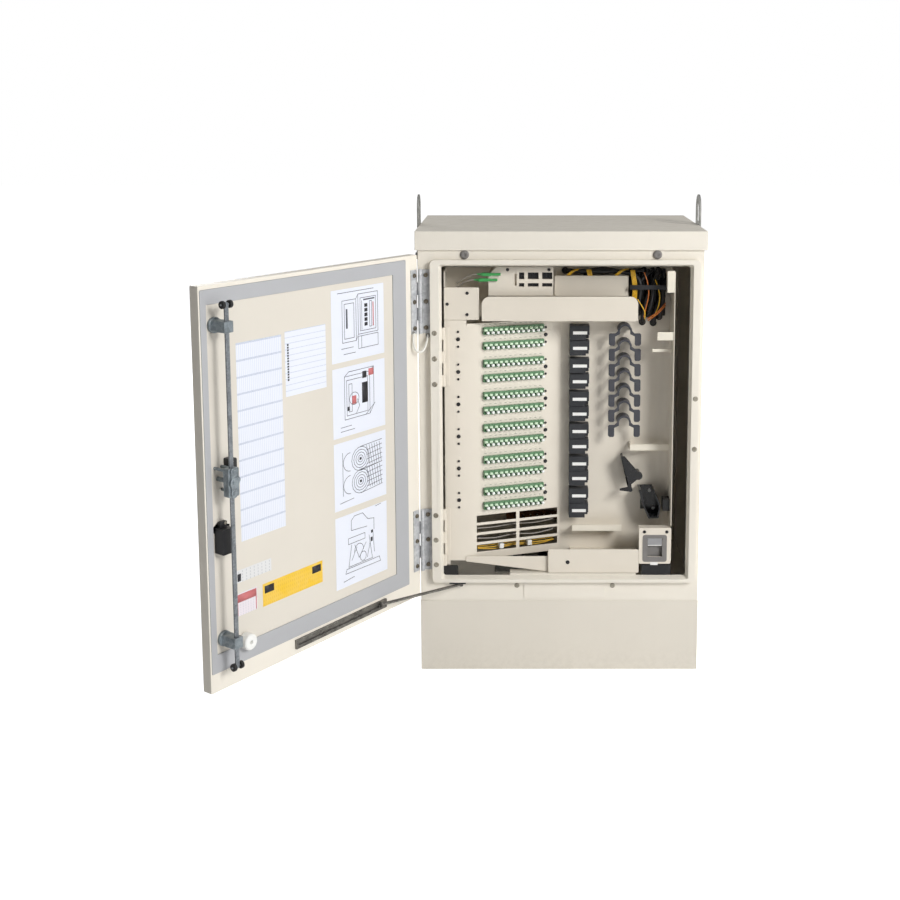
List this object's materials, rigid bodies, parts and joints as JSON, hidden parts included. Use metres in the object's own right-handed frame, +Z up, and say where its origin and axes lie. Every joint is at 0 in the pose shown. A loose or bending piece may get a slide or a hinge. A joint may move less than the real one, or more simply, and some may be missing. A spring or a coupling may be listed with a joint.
{
  "type": "roadside fibre distribution cabinet",
  "caption": "Pale metal roadside cabinet on a plinth, hinged door open on a stay, swing-out chassis of green fibre adapters, three-point latch and lifting eyes.",
  "frame": {"origin": "centre of the plinth's bottom face, on the ground", "axes": "+Z up, front of the cabinet towards -Y, door hinged on the -X side"},
  "size_m": [1.1553, 1.0422, 1.2179],
  "materials": {
    "cabinet_paint": "satin powder coat",
    "galvanised_steel": "zinc plated",
    "bolt_steel": "dulled plating",
    "grey_plug": "matte",
    "black_plastic": "moulded",
    "black_metal": "black powder coat",
    "copper": "bare copper",
    "strap_wire": "pale insulation",
    "cream_liner": "smooth paint",
    "grey_gasket": "flat foam face",
    "aluminium_track": "extruded",
    "zinc": "die cast zinc",
    "roller_rubber": "matte",
    "white_plastic": "moulded",
    "card": "laminated card",
    "cream_metal": "smooth paint",
    "cream_plastic": "moulded",
    "spool_plastic": "moulded",
    "grey_paddle": "moulded",
    "green_plastic": "moulded",
    "cable_jacket": "matte jacket"
  },
  "bodies": {
    "cabinet": {"plinth": "cabinet_paint", "body_shell": "cabinet_paint", "opening_lip": "cabinet_paint", "roof_cap": "cabinet_paint", "roof_plugs": "grey_plug", "lifting_eyes": "galvanised_steel", "eye_bolts": "galvanised_steel", "base_cover": "cabinet_paint", "frame_bolts": "bolt_steel", "sill_angle": "cabinet_paint", "roller_keepers": "galvanised_steel", "gland_plate": "galvanised_steel", "cable_glands": "black_plastic", "ground_bar": "copper", "hinge_leaves_fixed": "galvanised_steel", "hinge_pins": "galvanised_steel", "hinge_bolts_fixed": "bolt_steel", "chassis_hinges_fixed": "galvanised_steel", "chassis_keeper": "black_metal", "corner_block": "black_plastic", "stay_bracket": "black_metal", "ground_strap": "strap_wire"},
    "door": {"door_skin": "cabinet_paint", "door_liner": "cream_liner", "door_gasket": "grey_gasket", "hinge_leaves_moving": "galvanised_steel", "hinge_bolts_moving": "bolt_steel", "stay_track": "aluminium_track", "rod_guides": "zinc", "latch_case": "zinc", "lock_mounts": "black_plastic", "handle_plate": "black_metal", "door_bumper": "white_plastic", "door_cards": "card"},
    "stay_slider": {"stay_slider": "galvanised_steel"},
    "stay_arm": {"stay_arm": "galvanised_steel"},
    "latch_drive": {"latch_drive": "zinc"},
    "handle": {"handle_lever": "black_metal"},
    "rod_upper": {"rod_upper": "zinc"},
    "rod_lower": {"rod_lower": "zinc"},
    "rollers_upper": {"rollers_upper": "roller_rubber"},
    "rollers_lower": {"rollers_lower": "roller_rubber"},
    "chassis": {"chassis_tray": "cream_metal", "chassis_hinges_moving": "galvanised_steel", "adapters": "green_plastic", "panel_screws": "bolt_steel", "fibre_retainers": "black_plastic", "retainer_labels": "white_plastic", "slack_spools": "spool_plastic", "bend_guides": "black_plastic", "fibre_fingers": "cream_plastic", "splitter_module": "cream_metal", "splitter_tray": "cream_metal", "top_corner_plate": "cream_metal", "fibre_troughs": "cream_metal", "latch_plate": "cream_metal", "cable_bundles": "cable_jacket", "fibre_connectors": "green_plastic"},
    "latch_paddle": {"latch_paddle": "grey_paddle"},
    "latch_bolt": {"latch_bolt": "galvanised_steel"}
  },
  "joints": [
    {"name": "door_swing", "type": "hinge", "parent": "cabinet", "child": "door", "pos_m": [-0.3495, -0.24, 0.642], "axis": [0, 0, -1], "range_deg": [-125.5, 0], "deforming": ["ground_strap"]},
    {"name": "stay_arm_swing", "type": "hinge", "parent": "cabinet", "child": "stay_arm", "pos_m": [-0.252, -0.238, 0.23275], "axis": [0, 0, -1], "range_deg": [-145, 0]},
    {"name": "stay_slider_slide", "type": "slide", "parent": "door", "child": "stay_slider", "axis": [-0.5807, -0.8141, 0], "range_m": [0, 0.169]},
    {"name": "latch_turn", "type": "hinge", "parent": "door", "child": "latch_drive", "pos_m": [-0.72928, -0.77243, 0.668], "axis": [0.8141, -0.5807, 0], "range_deg": [-90, 0]},
    {"name": "handle_lift", "type": "hinge", "parent": "latch_drive", "child": "handle", "pos_m": [-0.76917, -0.74398, 0.668], "axis": [0, 0, 1], "range_deg": [0, 45]},
    {"name": "rod_upper_slide", "type": "slide", "parent": "door", "child": "rod_upper", "axis": [0, 0, 1], "range_m": [0, 0.01275]},
    {"name": "rod_lower_slide", "type": "slide", "parent": "door", "child": "rod_lower", "axis": [0, 0, -1], "range_m": [0, 0.01275]},
    {"name": "rollers_upper_spin", "type": "hinge", "parent": "rod_upper", "child": "rollers_upper", "pos_m": [-0.70567, -0.78927, 1.0435], "axis": [-0.5807, -0.8141, 0], "continuous": true},
    {"name": "rollers_lower_spin", "type": "hinge", "parent": "rod_lower", "child": "rollers_lower", "pos_m": [-0.70567, -0.78927, 0.2632], "axis": [-0.5807, -0.8141, 0], "continuous": true},
    {"name": "chassis_swing", "type": "hinge", "parent": "cabinet", "child": "chassis", "pos_m": [-0.292, -0.224, 0.648], "axis": [0, 0, -1], "range_deg": [0, 90]},
    {"name": "paddle_press", "type": "hinge", "parent": "chassis", "child": "latch_paddle", "pos_m": [0.2435, -0.222, 0.347], "axis": [-1, 0, 0], "range_deg": [-20, 0], "stiffness_Nm_per_rad": 0.05},
    {"name": "bolt_slide", "type": "slide", "parent": "chassis", "child": "latch_bolt", "axis": [0, 0, 1], "range_m": [-0.0061, 0]}
  ],
  "couplings": [
    {"joint": "stay_arm_swing", "follows": "door_swing", "ratio": 1.1534},
    {"joint": "stay_slider_slide", "follows": "door_swing", "m_per_rad": -0.077005},
    {"joint": "rod_upper_slide", "follows": "latch_turn", "m_per_rad": -0.008103},
    {"joint": "rod_lower_slide", "follows": "latch_turn", "m_per_rad": -0.008103},
    {"joint": "bolt_slide", "follows": "paddle_press", "m_per_rad": 0.017189}
  ]
}
